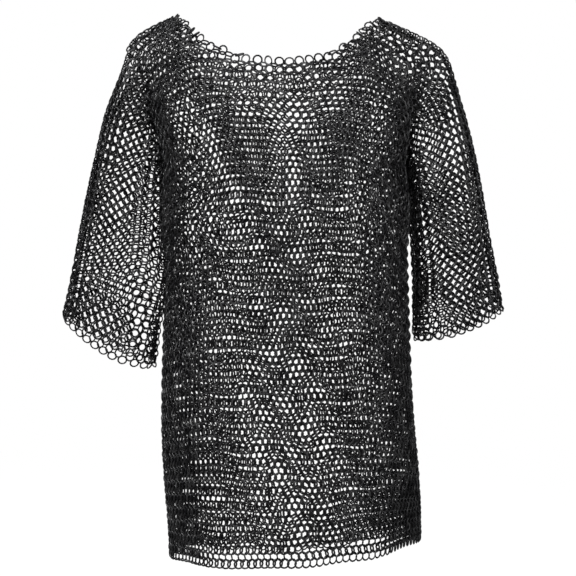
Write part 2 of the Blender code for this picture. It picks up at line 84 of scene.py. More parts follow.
# How the rows and columns of rings run: row 0 lies on the shoulders, column 0 down the middle. Pitches and heights
# are in metres; leans and tilts of the rings, in degrees, depend on how wide the mail is pulled
weave = {
    "armpitRow": 26, "hemRow": 91, "armpitColumn": 28, "cuffColumn": 48, "neckCornerColumn": 11,
    "chestArch": 0.060, "edgeDepth": 0.0062,
    "frontNeckRow": 15, "backNeckRow": 7, "neckClear": 0.35, "neckEdgeRows": 1.1, "neckHeldRows": 2,
    "backSlide": 0.5, "armTurn": 0.5, "turnFrom": 22, "turnOver": 8,
    "pitchHeights": [-0.156, -0.19, -0.26, -0.33, -0.40, -0.47, -0.54, -0.61, -0.67, -0.75],
    "pitches": [0.0114, 0.0100, 0.0078, 0.0072, 0.0074, 0.0079, 0.0085, 0.0090, 0.0094, 0.0097],
    "leanPitches": [0.006, 0.008, 0.0096, 0.011, 0.013], "leans": [26, 23, 21, 13, 8],
    "tiltPitches": [0.009, 0.011, 0.013], "tilts": [0, 20, 28],
}

# The wire is drawn fuller than it is, because its section has only a few sides. Wobbles are in degrees
ring = {
    "bore": 0.010, "wire": 0.0016, "fullness": 1.47, "turns": 12, "sides": 4,
    "jitter": 0.00012, "wobble": 1.6, "edgeWobble": 24, "seed": 1066,
}


def curve(knots, values, x):
    # Smooth curve through the values, which never runs past them
    knots, values, x = np.asarray(knots, float), np.asarray(values, float), np.asarray(x, float)
    flat = values.ndim == 1
    if flat:
        values = values[:, None]
    spans = np.diff(knots)
    chords = np.diff(values, axis=0) / spans[:, None]
    slopes = np.empty_like(values)
    slopes[0], slopes[-1] = chords[0], chords[-1]
    before, after = chords[:-1], chords[1:]
    same = before * after > 0
    slopes[1:-1] = np.where(same, 2 * before * after / np.where(same, before + after, 1), 0)
    k = np.clip(np.searchsorted(knots, x, side="right") - 1, 0, len(spans) - 1)
    t = ((x - knots[k]) / spans[k])[..., None]
    step = spans[k][..., None]
    rise = values[k] * (1 + 2 * t) + slopes[k] * step * t
    fall = values[k + 1] * (3 - 2 * t) + slopes[k + 1] * step * (t - 1)
    made = rise * (1 - t) ** 2 + fall * t**2
    return made[..., 0] if flat else made


def unit(v):
    tiny = 1e-12
    return v / np.maximum(np.linalg.norm(v, axis=-1, keepdims=True), tiny)


def ease(t):
    return t * t * (3 - 2 * t)


def bodyPoint(u, side, level):
    # Below the armpit: station u runs from the middle (0) to the side (4), level from the armpit (0) to the hem (1)
    s = shirt
    angle = curve([0, 1, 2, 3, 4], s["quarterTurn"], u) * math.pi / 2
    width = s["halfWidth"] * curve(s["levels"], s["levelWidths"], level)
    middle = -s["sideForward"] * curve(s["levels"], s["levelSides"], level)
    if side < 0:
        reach = -s["frontDepth"] * curve(s["levels"], s["levelFronts"], level)
        hem = s["frontLength"]
        around = angle
    else:
        reach = s["backDepth"] * curve(s["levels"], s["levelBacks"], level)
        hem = s["frontLength"] + s["hemBackExtra"] * np.cos(angle) ** 2
        around = math.pi - angle
    hem = hem + s["hemSideExtra"] * np.sin(angle) ** 2
    fold = s["hemFold"] * level**2 * np.cos(s["hemFolds"] * around)
    x = (width + fold) * np.sin(angle)
    y = middle + (reach - middle + side * fold) * np.cos(angle)
    return np.stack([x, y, -s["armpitDrop"] - (hem - s["armpitDrop"]) * level], axis=-1)


def neckEdge(u, side):
    s = shirt
    angle = u / 2 * math.pi / 2
    if side < 0:
        reach, drop = s["neckFrontForward"], s["neckFrontDrop"]
    else:
        reach, drop = s["neckBackReach"], s["neckBackDrop"]
    return np.stack([s["neckHalfWidth"] * np.sin(angle), side * reach * np.cos(angle),
                     -drop * (1 - np.sin(angle) ** s["neckSag"])], axis=-1)


def hoopGuides(side):
    # Guide points that each hoop over the shirt is drawn from, one a station
    s = shirt
    neck = neckEdge(np.arange(3.0), side)
    shoulder = np.array([s["shoulderHalfWidth"], 0, -s["shoulderDrop"]])
    halfWay = (neck[-1] + shoulder) / 2
    halfWay[2] = -s["shoulderDrop"] * s["saddleDrop"]
    cuffOuter = np.array([s["cuffOuterHalfSpan"], -s["cuffForward"] / 2, -s["cuffOuterDrop"]])
    cuffInner = np.array([s["cuffInnerHalfSpan"], -s["cuffForward"], -s["cuffInnerDrop"]])
    armpit = bodyPoint(np.array(4.0), side, np.array(0.0))
    spans = np.array([s["ridgeSpans"], s["ridgeSpans"], s["ridgeDrops"]]).T
    ridge = np.vstack([neck[-1], halfWay, shoulder + (cuffOuter - shoulder) * spans])
    spans = np.array([s["underSpans"], s["underSpans"], s["underDrops"]]).T
    underarm = armpit + (cuffInner - armpit) * spans
    low = np.vstack([bodyPoint(np.arange(5.0), side, np.zeros(5)), underarm[1:]])
    over = s["shoulderFrontRound"] if side < 0 else s["shoulderBackRound"]
    reaches = np.array([over, side * over, -s["chestRise"]])
    topArms = np.array(s["frontTopArms"] if side < 0 else s["backTopArms"]) * reaches
    lowArms = np.array(s["frontLowArms"] if side < 0 else s["backLowArms"]) * reaches
    sleeveRound = s["sleeveFrontRound"] if side < 0 else s["sleeveBackRound"]
    sleeveArms = np.array([[0, side * sleeveRound * wide, 0] for wide in s["sleeveRounds"]])
    top = np.vstack([neck[:-1], ridge])
    return {"ridge": ridge, "low": low, "upper": top + np.vstack([topArms, sleeveArms[1:]]),
            "lower": low + np.vstack([lowArms, sleeveArms[1:]])}


guides = {-1: hoopGuides(-1), 1: hoopGuides(1)}
stations = np.arange(9.0)


def hoopPoint(u, side, w):
    # Over the yoke and sleeves: w runs from the neck's edge or the ridge (0) to the armpit's level (1)
    g = guides[side]
    ridge = curve(stations[2:], g["ridge"], np.maximum(u, 2))
    top = np.where((u <= 2)[..., None], neckEdge(np.minimum(u, 2), side), ridge)
    body = bodyPoint(np.minimum(u, 4), side, np.zeros_like(u))
    underarm = curve(stations[4:], g["low"][4:], np.maximum(u, 4))
    low = np.where((u <= 4)[..., None], body, underarm)
    upper, lower = curve(stations, g["upper"], u), curve(stations, g["lower"], u)
    t = (1 - w)[..., None]
    point = low * (1 - t) ** 3 + lower * 3 * t * (1 - t) ** 2 + upper * 3 * t**2 * (1 - t) + top * t**3
    bulge = np.where(u > 4, curve(stations[4:], shirt["sleeveBulges"], np.maximum(u, 4)), 0)
    point[..., 2] -= shirt["cuffBulge"] * bulge * (4 * t[..., 0] * (1 - t[..., 0])) ** 2
    return point


def shirtPoint(u, side, t):
    # t runs from the top of the hoop (-1) over the armpit's level (0) to the hem (1)
    over = hoopPoint(u, side, np.clip(1 + t, 0, 1))
    return np.where((t < 0)[..., None], over, bodyPoint(np.minimum(u, 4), side, np.clip(t, 0, 1)))


def bilinear(table, rows, columns):
    # Value of a table at places that count along its rows and columns
    r = np.clip(rows, 0, table.shape[0] - 1.000001)
    c = np.clip(columns, 0, table.shape[1] - 1.000001)
    r0, c0 = r.astype(int), c.astype(int)
    a, b = r - r0, c - c0
    return ((table[r0, c0] * (1 - b) + table[r0, c0 + 1] * b) * (1 - a)
            + (table[r0 + 1, c0] * (1 - b) + table[r0 + 1, c0 + 1] * b) * a)


def gone(points):
    # Length gone along each line of points
    steps = np.linalg.norm(np.diff(points, axis=-2), axis=-1)
    return np.concatenate([np.zeros(steps.shape[:-1] + (1,)), np.cumsum(steps, axis=-1)], axis=-1)


fine = 48  # steps in which lengths over the form are measured
armpitRow, hemRow = weave["armpitRow"], weave["hemRow"]
armpitColumn, cuffColumn, cornerColumn = weave["armpitColumn"], weave["cuffColumn"], weave["neckCornerColumn"]
bodyRows = hemRow - armpitRow


def archAt(u, side):
    # How far above the armpit's level the armpit row passes, as a share of the hoop
    if side > 0:
        return np.zeros_like(u)
    angle = curve([0, 1, 2, 3, 4], shirt["quarterTurn"], u) * math.pi / 2
    return archShare * np.cos(angle) ** 2


def bodyTables(side):
    # tAt: the level of each row at each station; uAt: the station of each column in each row
    us = np.linspace(0, 4, fine + 1)
    tAt = np.empty((fine + 1, bodyRows + 1))
    for k, u in enumerate(us):
        ts = np.linspace(-archAt(np.array(u), side), 1, 4 * fine)
        length = gone(shirtPoint(np.full_like(ts, u), side, ts))
        wanted = np.linspace(0, length[-1] - weave["edgeDepth"], bodyRows + 1)
        tAt[k] = np.interp(wanted, length, ts)
    uAt = np.empty((bodyRows + 1, armpitColumn + 1))
    columns = np.arange(armpitColumn + 1)
    for row in range(bodyRows + 1):
        points = shirtPoint(us, side, tAt[:, row])
        length = gone(points)
        even = length[-1] / armpitColumn
        middle = even
        if side < 0:
            middle = np.interp(-points[0][2], -np.array(weave["pitchHeights"]), weave["pitches"])
        edge = 2 * even - middle
        wanted = middle * columns + (edge - middle) * columns**2 / (2 * armpitColumn)
        uAt[row] = np.interp(wanted, length, us)
    return {"tAt": tAt, "uAt": uAt}


def upperTables(side):
    # uLow, uTop: the station of each column at the armpit row and at its top; sAt: its way up, row by row
    halves = np.arange(0, cuffColumn + 0.25, 0.5)
    underLine = hoopPoint(np.linspace(4, 8, 4 * fine), side, np.ones(4 * fine))
    underLength = gone(underLine)
    sleeveLength = underLength[-1] - weave["edgeDepth"]
    uLow = np.where(halves <= armpitColumn,
                    np.interp(halves, np.arange(armpitColumn + 1), body[side]["uAt"][0]),
                    np.interp((halves - armpitColumn) / (cuffColumn - armpitColumn) * sleeveLength,
                              underLength, np.linspace(4, 8, 4 * fine)))
    ridgeUs = np.linspace(2, 8, 6 * fine)
    ridgeLength = gone(hoopPoint(ridgeUs, side, np.zeros(6 * fine)))
    wanted = (halves - cornerColumn) / (cuffColumn - cornerColumn) * (ridgeLength[-1] - weave["edgeDepth"])
    roundNeck = np.arcsin(np.clip(halves / cornerColumn, 0, 1)) * 4 / math.pi
    uTop = np.where(halves <= cornerColumn, roundNeck, np.interp(wanted, ridgeLength, ridgeUs))
    wLow = np.where(halves <= armpitColumn, 1 - archAt(np.minimum(uLow, 4), side), 1)
    s = np.linspace(0, 1, 2 * fine)
    u = uLow[:, None] + (uTop - uLow)[:, None] * ease(s)
    length = gone(hoopPoint(u, side, wLow[:, None] * (1 - s)))
    sAt = np.stack([np.interp(np.linspace(0, line[-1], fine + 1), line, s) for line in length])
    total = length[:, -1]
    neckRow = weave["frontNeckRow"] if side < 0 else weave["backNeckRow"]
    middleStep = total[0] / (armpitRow - neckRow)
    cornerStep = np.interp(cornerColumn, halves, total) / armpitRow
    step = middleStep + (cornerStep - middleStep) * np.clip(halves / cornerColumn, 0, 1)
    topRow = np.where(halves < cornerColumn, armpitRow - total / step, 0)
    return {"uLow": uLow, "uTop": uTop, "wLow": wLow, "sAt": sAt, "topRow": np.clip(topRow, 0, None)}


# The hoop's way at which the front's middle is as high as the top of the chest's arch
ws = np.linspace(0.5, 1, 200)
middleDrops = -hoopPoint(np.zeros(200), -1, ws)[:, 2]
archShare = 1 - float(np.interp(shirt["armpitDrop"] - weave["chestArch"], middleDrops, ws))
body = {side: bodyTables(side) for side in (-1, 1)}
upper = {side: upperTables(side) for side in (-1, 1)}


def topRowAt(column, side):
    return np.interp(np.abs(column) * 2, np.arange(len(upper[side]["topRow"])), upper[side]["topRow"])


def stationAt(column, row, side):
    # (station, t) of a place in the weave, on the given side of the shirt
    u = upper[side]
    i = np.abs(column)
    place = i * 2
    every = np.arange(len(u["uLow"]))
    uLow, uTop, wLow = (np.interp(place, every, u[k]) for k in ("uLow", "uTop", "wLow"))
    way = (armpitRow - row) / (armpitRow - np.interp(place, every, u["topRow"]))
    s = bilinear(u["sAt"], place, np.clip(way, 0, 1) * fine)
    station = uLow + (uTop - uLow) * ease(s)
    t = wLow * (1 - s) - 1
    down = np.clip(row - armpitRow, 0, bodyRows)
    below = bilinear(body[side]["uAt"], down, np.minimum(i, armpitColumn))
    tBelow = bilinear(body[side]["tAt"], below / 4 * fine, down)
    isBelow = row > armpitRow
    return np.where(isBelow, below, station), np.where(isBelow, tBelow, t)


def weavePoint(column, row, side, inSleeve):
    # The point of a place in the weave. Past the ridge, the underarm or the flank it lies on the other face
    column, row, side = np.asarray(column, float), np.asarray(row, float), np.asarray(side)
    over = row < 0
    under = inSleeve & (row > armpitRow)
    aside = ~inSleeve & (np.abs(column) > armpitColumn) & (row >= armpitRow)
    face = np.where(over | under | aside, -side, side)
    row = np.where(over, -row, np.where(under, 2 * armpitRow - row, row))
    i = np.where(aside, 2 * armpitColumn - np.abs(column), np.abs(column))
    point = np.empty(column.shape + (3,))
    for one in (-1, 1):
        here = face == one
        u, t = stationAt(i[here], row[here], one)
        point[here] = shirtPoint(u, one, t)
    point[..., 0] *= np.where(column < 0, -1, 1)
    return point


def ringPlaces():
    # Every ring: the body in rounds, then the front and back of the yoke and sleeves. A round's place counts
    # from the middle of the front; a place over the shoulders counts rows from the ridge, minus to the back
    column, row, side, place, index = [], [], [], [], {}

    def add(c, j, s, key):
        index[key] = len(column)
        column.append(c)
        row.append(float(j))
        side.append(s)

    for j in range(armpitRow, hemRow + 1):
        for c in np.arange(-2 * armpitColumn, 2 * armpitColumn) + (j % 2) * 0.5:
            isBack = abs(c) > armpitColumn
            onFace = np.sign(c) * (2 * armpitColumn - abs(c)) if isBack else c
            add(onFace, j, 1 if isBack else -1, ("round", j, int(2 * c) % (8 * armpitColumn)))
    for s in (-1, 1):
        for j in range(armpitRow + 1):
            if s > 0 and j in (0, armpitRow):
                continue
            for c in np.arange(-cuffColumn, cuffColumn + 1) + (j % 2) * 0.5:
                isOff = abs(c) > cuffColumn or (j == armpitRow and abs(c) <= armpitColumn)
                if isOff or (abs(c) < cornerColumn and j < topRowAt(c, s) + weave["neckClear"]):
                    continue
                add(c, j, s, ("over", -s * j, int(2 * c)))
    return np.array(column, float), np.array(row), np.array(side), index


def ringLinks(index):
    # Which rings hook through each other, and on which side of each ring the other lies: right, below
    full, half = 8 * armpitColumn, 2 * armpitColumn

    def ringAt(j, c):
        if abs(j) >= armpitRow and abs(c) <= half:
            onFace = c if j > 0 else (2 * half - abs(c)) * (1 if c >= 0 else -1)
            return index.get(("round", abs(j), onFace % full))
        return index.get(("over", armpitRow if abs(j) == armpitRow else j, c))

    links = []
    for j in range(-armpitRow, armpitRow):
        for c in range(-2 * cuffColumn, 2 * cuffColumn + 1):
            if (c + j) % 2 == 0:
                for step in (-1, 1):
                    a, b = ringAt(j, c), ringAt(j + 1, c + step)
                    if a is not None and b is not None:
                        below = 1 if j >= 0 or (j == -armpitRow and abs(c) > half) else -1
                        links.append((a, b, step, below, -step, -1 if j + 1 >= 0 else 1))
    for j in range(armpitRow, hemRow):
        for c in range(full):
            for step in (-1, 1):
                a, b = index.get(("round", j, c)), index.get(("round", j + 1, (c + step) % full))
                if a is not None and b is not None:
                    links.append((a, b, -step * side[a], 1, step * side[b], -1))
    return np.array(links)


column, row, side, ringIndex = ringPlaces()
inSleeve = (np.abs(column) > armpitColumn) & (row <= armpitRow)
# The back of each sleeve slides along the arm, most half way down, and its weave is turned about the arm, so that
# the links of its two faces don't line up
slide = np.sin(np.pi * np.clip(np.where(inSleeve, row / armpitRow, 0), 0, 1))
slide *= np.where(side > 0, weave["backSlide"], 0)
turn = np.clip((np.abs(column) - weave["turnFrom"]) / weave["turnOver"], 0, 1) * weave["armTurn"]
fading = np.where(row < armpitRow, np.clip((armpitRow - row) / weave["turnOver"], 0, 1), 0)
turn *= np.where(inSleeve, 1, fading)
centre = weavePoint(column + slide, row - turn * side, side, inSleeve)
along = weavePoint(column + 0.5, row, side, inSleeve) - weavePoint(column - 0.5, row, side, inSleeve)
down = weavePoint(column, row + 0.5, side, inSleeve) - weavePoint(column, row - 0.5, side, inSleeve)
outward = unit(np.cross(down, along) * -side[:, None])
station = np.empty(len(column))
for one in (-1, 1):
    here = side == one
    station[here] = stationAt(column[here], row[here], one)[0]
links = ringLinks(ringIndex)
print("rings:", len(column), "links:", len(links))


def formTree(lowStation, highStation, lowT, highT):
    # The shirt's own surface between two stations, front and back, left and right, to lay the rings on
    across, down = fine, 2 * fine
    us, ts = np.linspace(lowStation, highStation, across + 1), np.linspace(lowT, highT, down + 1)
    grid = np.stack(np.meshgrid(us, ts, indexing="ij"), axis=-1)
    verts, faces = [], []
    corner = (np.arange(across)[:, None] * (down + 1) + np.arange(down)[None]).ravel()
    quads = np.stack([corner, corner + down + 1, corner + down + 2, corner + 1], axis=1)
    for one in (-1, 1):
        points = shirtPoint(grid[..., 0].ravel(), one, grid[..., 1].ravel())
        for hand in (1, -1):
            faces.append(quads + len(verts) * len(points))
            verts.append(points * [hand, 1, 1])
    return BVHTree.FromPolygons(np.concatenate(verts).tolist(), np.concatenate(faces).tolist())


# The rings slide on the form until no link is pulled too far or pushed too close, and above the armpits they are
# evened out first. Body and sleeves lie on a tree each, which overlap at the armhole
settle = {
    "rounds": 120, "layEvery": 6, "nearest": 0.0086, "farthest": 0.0099, "edgeHold": 0.15,
    "smooth": 0.5, "smoothRounds": 72, "smoothBelow": 8, "bodyTo": 4.6, "sleeveFrom": 3.2,
}
bodyTree, sleeveTree = formTree(0, settle["bodyTo"], -1, 1), formTree(settle["sleeveFrom"], 8, -1, 0)
isArm = (row <= armpitRow) & ((row < armpitRow) | inSleeve) & (station > 4)
neckRow = np.where(side < 0, topRowAt(column, -1), topRowAt(column, 1))
inNeck = np.abs(column) < cornerColumn
freedom = np.ones(len(column))
freedom[(row == hemRow) | (np.abs(column) > cuffColumn - 1)] = settle["edgeHold"]
freedom[inNeck & (row < neckRow + weave["neckHeldRows"])] = settle["edgeHold"]
a, b = links[:, 0], links[:, 1]
linkCount = np.maximum(np.bincount(np.concatenate([a, b]), minlength=len(centre)), 1)


def layOnForm(points):
    normals = np.empty_like(points)
    for n, point in enumerate(points):
        hit, normal, _, _ = (sleeveTree if isArm[n] else bodyTree).find_nearest(point)
        points[n], normals[n] = hit, normal
    return normals


smooth = settle["smooth"] * np.clip((armpitRow + settle["smoothBelow"] - row) / settle["smoothBelow"], 0, 1)
smooth = (smooth * freedom * (linkCount == 4))[:, None]
for count in range(settle["rounds"]):
    if count < settle["smoothRounds"]:
        around = [np.bincount(a, centre[b, k], len(centre)) + np.bincount(b, centre[a, k], len(centre))
                  for k in range(3)]
        centre += (np.stack(around, axis=1) / linkCount[:, None] - centre) * smooth
    apart = centre[b] - centre[a]
    length = np.linalg.norm(apart, axis=1)
    pull = apart * ((length - np.clip(length, settle["nearest"], settle["farthest"])) / length)[:, None]
    for k in range(3):
        moved = np.bincount(a, pull[:, k], len(centre)) - np.bincount(b, pull[:, k], len(centre))
        centre[:, k] += moved / linkCount * freedom
    if count % settle["layEvery"] == settle["layEvery"] - 1:
        normals = layOnForm(centre)
outward = normals * np.where((normals * outward).sum(axis=1) < 0, -1, 1)[:, None]
length = np.linalg.norm(centre[b] - centre[a], axis=1)
print("links settled, mm:", np.percentile(length * 1000, [0, 1, 5, 50, 95, 99, 100]).round(2))


# The shirt hangs a little unevenly. Each place has its x and z and how far the mail there is off the form in x and
# z, all in mm. Below lowFrom, places past sleevesFrom move the sleeves alone, and the others the body alone
hang = {
    "reach": 52, "still": 0.04, "lowFrom": -300, "sleevesFrom": 185,
    "places": [
        # The wearer's right shoulder, armpit and sleeve
        (-141, 4, -15, -9), (-165, -6, -9, 4), (-172, -190, -15, 0), (-172, -270, -9, 0), (-100, -30, -25, 2),
        (-58, -52, -8, 0), (-82, -38, -30, 0), (-190, -20, -5, 9), (-234, -65, 0, 0),
        (-260, -135, -5, 0), (-274, -192, -4, 0), (-285, -250, -6, 0), (-297, -306, -4, 0), (-311, -391, -3, -3),
        (-312, -425, -5, -10), (-250, -460, -2, -14), (-190, -472, -4, -23), (-190, -330, 2, -4),
        # The left shoulder and sleeve
        (135, 0, -20, -5), (85, -30, -12, 0), (50, -52, 12, 6), (190, -20, -9, -6), (233, -65, -5, -2),
        (258, -135, -12, 0), (274, -192, -12, 0), (285, -250, -11, 1), (297, -306, -12, 2), (311, -391, -9, 4),
        (313, -425, -8, 8), (250, -460, -10, 14), (190, -472, -11, 22), (190, -330, -5, 8),
        # The right flank, then the left one
        (-170, -400, 6, 0), (-178, -500, 8, 0), (-178, -570, 9, 0), (-178, -640, 12, 0), (-176, -710, 17, 0),
        (-176, -755, 19, -4),
        (170, -400, -8, 0), (178, -500, -8, 0), (178, -570, -6, 0), (178, -640, 0, 2), (176, -710, 2, 6),
        (176, -755, -2, 30),
        # Down the middle and to both sides of it
        (0, -90, 0, 0), (0, -160, -2, 0), (0, -260, -1, 0), (0, -360, 0, 0), (0, -460, 0, 0), (0, -560, 2, 0),
        (0, -640, 5, 0), (0, -730, 9, -3), (90, -730, 6, 4), (-90, -730, 13, -7),
        (90, -200, -6, 0), (-90, -200, 0, 0), (90, -400, -4, 0), (-90, -400, 3, 0),
    ],
}
spots = np.array(hang["places"], float)
away = np.linalg.norm(centre[:, None, ::2] * 1000 - spots[None, :, :2], axis=2)
weight = np.exp(-(away / hang["reach"]) ** 2)
isLow, isAside = spots[:, 1] <= hang["lowFrom"], np.abs(spots[:, 0]) > hang["sleevesFrom"]
weight *= np.where(isArm[:, None], ~(isLow & ~isAside), ~(isLow & isAside))
moved = weight @ spots[:, 2:] / (weight.sum(axis=1) + hang["still"])[:, None] / 1000
centre[:, 0] += moved[:, 0]
centre[:, 2] += moved[:, 1]

# Where a sleeve meets the body the mail closes up along its inner edge, presses on the body, and folds in front of
# the armpit. Heights and places are in mm, and -1 is the wearer's right, 1 the left
bunch = {
    "edgeHeights": [-530, -480, -400, -300, -216, -150], "edgePlaces": [190, 190, 181, 169, 160, 158],
    "edgeReach": 24, "edgeClose": 0.5,
    "pressHeights": [-500, -430, -390, -340, -260, -190, -140],
    "press": {-1: [0, 3, 10, 13, 14, 12, 5], 1: [0, -3, -3, -3, -4, 2, 0]}, "pressReach": {-1: 95, 1: 30},
    "pressFree": 8, "pressForward": 0.6,
    "foldHeights": {-1: [-400, -291, -200, -140, -105], 1: [-330, -250, -150, -90]},
    "foldPlaces": {-1: [163, 170, 176, 186, 192], 1: [176, 170, 159, 155]},
    "foldClose": {-1: [0.1, 0.6, 0.65, 0.5, 0], 1: [0.1, 0.55, 0.5, 0]},
    "foldReach": 23, "foldDepth": 7, "foldBehind": 0.6,
}
for hand in (-1, 1):
    ours = np.sign(centre[:, 0]) == hand
    out, high = np.abs(centre[ours, 0]) * 1000, centre[ours, 2] * 1000
    arm = isArm[ours]
    past = np.clip(out - np.interp(high, bunch["edgeHeights"], bunch["edgePlaces"]), 0, None)
    closing = bunch["edgeClose"] * past * np.exp(-(past / bunch["edgeReach"]) ** 2)
    pressing = np.interp(high, bunch["pressHeights"], bunch["press"][hand])
    pressing = pressing * np.exp(-(past / bunch["pressReach"][hand]) ** 2)
    out = out - np.where(arm, closing + pressing, 0)
    forward = np.clip(pressing - bunch["pressFree"], 0, None) * bunch["pressForward"] / 1000
    centre[ours, 1] -= np.where(arm, forward, 0)
    foldHeights = bunch["foldHeights"][hand]
    apart = (out - np.interp(high, foldHeights, bunch["foldPlaces"][hand])) / bunch["foldReach"]
    strength = np.interp(high, foldHeights, bunch["foldClose"][hand]) * np.exp(-apart**2 / 2)
    strength = np.where(side[ours] < 0, strength, strength * bunch["foldBehind"])
    centre[ours, 0] = hand * (out - bunch["foldReach"] * apart * strength) / 1000
    centre[ours, 1] -= side[ours] * bunch["foldDepth"] * strength / 1000

# The two faces drift apart a little, so that their links don't line up in stripes: metres, and waves in radians a
# metre. The back's rows wave most, but not at the flanks and the ridge, where they meet the front's
drift = {
    "across": 0.0028, "up": 0.0020, "waves": 9.0, "backPhase": 2.1, "rightSleeveBack": (0.0045, -0.0025),
    "backUp": 0.003, "backWavesAcross": 70, "backWavesUp": 25, "flank": 0.172, "ridge": -0.02, "fade": 0.05,
}
phase = np.where(side > 0, drift["backPhase"], 0)
isRightSleeveBack = isArm & (side > 0) & (centre[:, 0] < 0)
centre[isRightSleeveBack, ::2] += drift["rightSleeveBack"]
centre[:, 0] += drift["across"] * np.sin(drift["waves"] * centre[:, 2] + phase) * side
centre[:, 2] += drift["up"] * np.sin(drift["waves"] * np.abs(centre[:, 0]) + phase) * side
inwards = np.clip((drift["flank"] - np.abs(centre[:, 0])) / drift["fade"], 0, 1)
inwards *= np.clip((drift["ridge"] - centre[:, 2]) / drift["fade"], 0, 1) * ((side > 0) & ~isArm)
waving = np.sin(drift["backWavesAcross"] * centre[:, 0] + drift["backWavesUp"] * centre[:, 2])
centre[:, 2] += drift["backUp"] * inwards * waving


def acrossRings(signOfA, signOfB, fallback):
    # Mean step from the neighbours on one side of each ring to those on the other
    total = np.zeros((2, len(centre), 3))
    count = np.zeros((2, len(centre)))
    for here, there, sign in ((a, b, signOfA), (b, a, signOfB)):
        for which, wanted in ((0, 1), (1, -1)):
            m = sign == wanted
            np.add.at(total[which], here[m], centre[there[m]] - centre[here[m]])
            np.add.at(count[which], here[m], 1)
    both = (count[0] > 0) & (count[1] > 0)
    means = total / np.maximum(count, 1)[..., None]
    return np.where(both[:, None], means[0] - means[1], fallback)


along = acrossRings(links[:, 2], links[:, 4], along)
down = acrossRings(links[:, 3], links[:, 5], down)
along -= outward * (along * outward).sum(axis=1)[:, None]
pitch = np.linalg.norm(along, axis=1)

# Every second row leans the other way; where the mail is pulled wide its rings tip instead
axisX = unit(along)
axisY = np.cross(outward, axisX)
parity = np.where(row % 2 == 0, 1, -1)
rng = np.random.default_rng(ring["seed"])
lean = np.radians(np.interp(pitch, weave["leanPitches"], weave["leans"])) * parity * side
tilt = np.radians(np.interp(pitch, weave["tiltPitches"], weave["tilts"])) * parity
isNeckEdge = inNeck & (row < neckRow + weave["neckEdgeRows"])
wobble = np.radians(np.where(isNeckEdge, ring["edgeWobble"], ring["wobble"]))
lean += rng.normal(0, 1, len(lean)) * wobble
tilt += rng.normal(0, 1, len(lean)) * wobble
spin = rng.uniform(0, 2 * math.pi, len(lean))
centre = centre + rng.normal(0, ring["jitter"], centre.shape)


def turned(a, b, angle):
    # Both axes turned in their own plane
    c, s = np.cos(angle)[:, None], np.sin(angle)[:, None]
    return a * c + b * s, b * c - a * s


axisZ = outward
axisZ, axisX = turned(axisZ, axisX, lean)
axisY, axisZ = turned(axisY, axisZ, tilt)
axisX, axisY = turned(axisX, axisY, spin)
tone = rng.uniform(0, 1, len(lean))

# One ring of round wire, butted shut; the mail is made of copies of it
bpy.ops.mesh.primitive_torus_add(
    major_radius=(ring["bore"] + ring["wire"]) / 2, minor_radius=ring["wire"] / 2 * ring["fullness"],
    major_segments=ring["turns"], minor_segments=ring["sides"], generate_uvs=True)
master = bpy.context.object
master.name = "ringMaster"
bpy.ops.object.mode_set(mode="EDIT")
bpy.ops.mesh.select_all(action="SELECT")
bpy.ops.mesh.normals_make_consistent(inside=False)
bpy.ops.object.mode_set(mode="OBJECT")
ringVerts = np.array([v.co for v in master.data.vertices])
ringFaces = np.array([p.vertices[:] for p in master.data.polygons])
ringUvs = np.array([d.uv for d in master.data.uv_layers[0].data])
bpy.data.objects.remove(master)


def mailPiece(name, chosen, material):
    # One field of mail: a copy of the ring at each chosen place
    count = len(chosen)
    frameAxes = np.stack([axisX[chosen], axisY[chosen], axisZ[chosen]], axis=1)
    verts = (ringVerts[None] @ frameAxes) + centre[chosen][:, None]
    faces = ringFaces[None] + (np.arange(count) * len(ringVerts))[:, None, None]
    mesh = bpy.data.meshes.new(name)
    mesh.vertices.add(verts.shape[0] * verts.shape[1])
    mesh.vertices.foreach_set("co", verts.ravel().astype(np.float32))
    mesh.loops.add(faces.size)
    mesh.loops.foreach_set("vertex_index", faces.ravel().astype(np.int32))
    mesh.polygons.add(count * len(ringFaces))
    mesh.polygons.foreach_set("loop_start", np.arange(0, faces.size, 4, dtype=np.int32))
    mesh.update(calc_edges=True)
    uvs = mesh.uv_layers.new(name="ringUv")
    uvs.data.foreach_set("uv", np.tile(ringUvs, (count, 1)).ravel().astype(np.float32))
    tones = mesh.attributes.new("ringTone", "FLOAT", "POINT")
    tones.data.foreach_set("value", np.repeat(tone[chosen], len(ringVerts)).astype(np.float32))
    mesh.validate()
    mesh.shade_smooth()
    piece = bpy.data.objects.new(name, mesh)
    bpy.context.scene.collection.objects.link(piece)
    mesh.materials.append(material)
    print(name, "rings", count, "triangles", count * len(ringFaces) * 2)
    return piece


class Maths:
    # A shader socket that sums, products and the like can be written with
    def __init__(self, tree, socket):
        self.tree, self.socket = tree, socket

    def node(self, kind, settings=None, inputs=None):
        made = self.tree.nodes.new(kind)
        for key, value in (settings or {}).items():
            if key == "stops":
                ramp = made.color_ramp
                ramp.elements[0].position, ramp.elements[0].color = value[0]
                ramp.elements[1].position, ramp.elements[1].color = value[1]
            else:
                setattr(made, key, value)
        for key, value in (inputs or {}).items():
            if isinstance(value, Maths):
                self.tree.links.new(value.socket, made.inputs[key])
            else:
                made.inputs[key].default_value = value
        return made

    def maths(self, operation, other, third=None):
        made = self.node("ShaderNodeMath", {"operation": operation}, {0: self, 1: other})
        if third is not None:
            made.inputs[2].default_value = third
        return Maths(self.tree, made.outputs[0])

    def __add__(self, other):
        return self.maths("ADD", other)

    def __mul__(self, other):
        return self.maths("MULTIPLY", other)

    def __sub__(self, other):
        return self.maths("SUBTRACT", other)

    def __rsub__(self, other):
        return (self * -1) + other

    __radd__ = __add__
    __rmul__ = __mul__

    def between(self, low, high):
        made = self.node("ShaderNodeMapRange", {"interpolation_type": "SMOOTHSTEP"},
                         {"Value": self, "From Min": low, "From Max": high})
        return Maths(self.tree, made.outputs[0])


